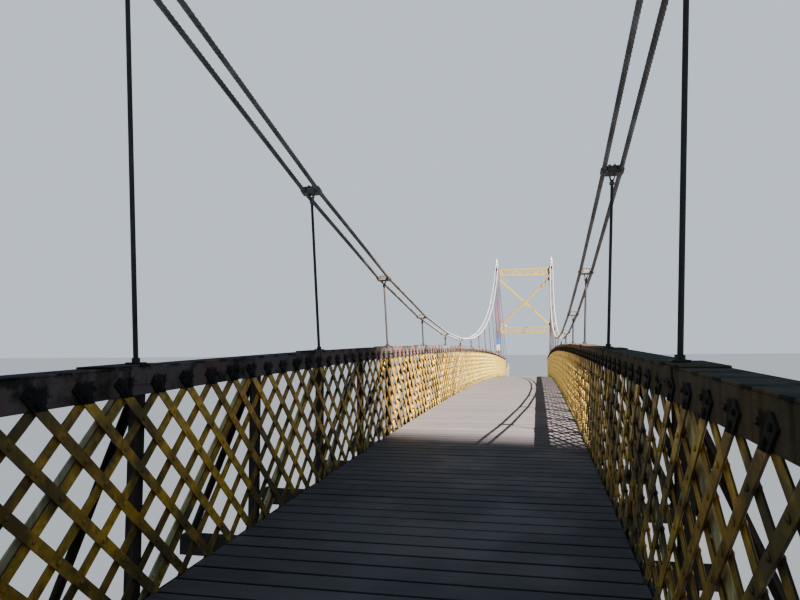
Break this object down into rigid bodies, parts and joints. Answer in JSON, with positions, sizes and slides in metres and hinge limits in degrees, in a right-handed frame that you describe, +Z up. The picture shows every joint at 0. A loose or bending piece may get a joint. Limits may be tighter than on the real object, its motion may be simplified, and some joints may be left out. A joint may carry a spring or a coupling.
{
  "type": "1:2 scale model of a suspension footbridge",
  "caption": "Scale model of a suspension footbridge: cambered board deck between riveted lattice parapets, hung by rods from rope pairs that run over braced towers to anchor blocks.",
  "frame": {"origin": "on the ground, at the middle of the span and the middle of the width", "axes": "+X runs along the bridge from the near tower to the far tower, +Y to the left parapet, +Z up"},
  "size_m": [35.579, 2.58, 5.5597],
  "materials": {
    "concrete": "weathered rough concrete with water stains",
    "boards": "dark weathered deck boards, paler where worn",
    "black_steel": "black paint, worn and rust stained",
    "yellow_steel": "ochre yellow paint, dirty and chipped with rust",
    "grey_steel": "grey paint with a lilac tinge, faded",
    "rope": "weathered galvanised wire rope"
  },
  "bodies": {
    "root": {"deck_boards": "boards", "floor_frame_1": "black_steel", "floor_frame_2": "black_steel", "floor_frame_3": "black_steel", "floor_frame_4": "black_steel", "handrail_left": "black_steel", "lattice_left_1": "yellow_steel", "lattice_left_2": "yellow_steel", "lattice_left_3": "yellow_steel", "lattice_left_4": "yellow_steel", "rope_left_outer": "rope", "rope_left_inner_near_backstay": "rope", "rope_left_inner_near_rise": "rope", "rope_left_inner_near_quarter": "rope", "rope_left_inner_middle": "rope", "rope_left_inner_far_quarter": "rope", "rope_left_inner_far_rise": "rope", "rope_left_inner_far_backstay": "rope", "handrail_right": "black_steel", "lattice_right_1": "yellow_steel", "lattice_right_2": "yellow_steel", "lattice_right_3": "yellow_steel", "lattice_right_4": "yellow_steel", "rope_right_outer": "rope", "rope_right_inner_near_backstay": "rope", "rope_right_inner_near_rise": "rope", "rope_right_inner_near_quarter": "rope", "rope_right_inner_middle": "rope", "rope_right_inner_far_quarter": "rope", "rope_right_inner_far_rise": "rope", "rope_right_inner_far_backstay": "rope", "abutment_near": "concrete", "portal_top_girder_near": "yellow_steel", "portal_lower_girder_near": "yellow_steel", "portal_cross_brace_near": "yellow_steel", "parapet_frame_left_near": "black_steel", "tower_leg_near_left": "grey_steel", "tower_saddle_near_left": "grey_steel", "anchor_block_near_left": "concrete", "parapet_frame_right_near": "black_steel", "tower_leg_near_right": "grey_steel", "tower_saddle_near_right": "grey_steel", "anchor_block_near_right": "concrete", "abutment_far": "concrete", "portal_top_girder_far": "yellow_steel", "portal_lower_girder_far": "yellow_steel", "portal_cross_brace_far": "yellow_steel", "parapet_frame_left_far": "black_steel", "tower_leg_far_left": "grey_steel", "tower_saddle_far_left": "grey_steel", "anchor_block_far_left": "concrete", "parapet_frame_right_far": "black_steel", "tower_leg_far_right": "grey_steel", "tower_saddle_far_right": "grey_steel", "anchor_block_far_right": "concrete"}
  },
  "joints": []
}
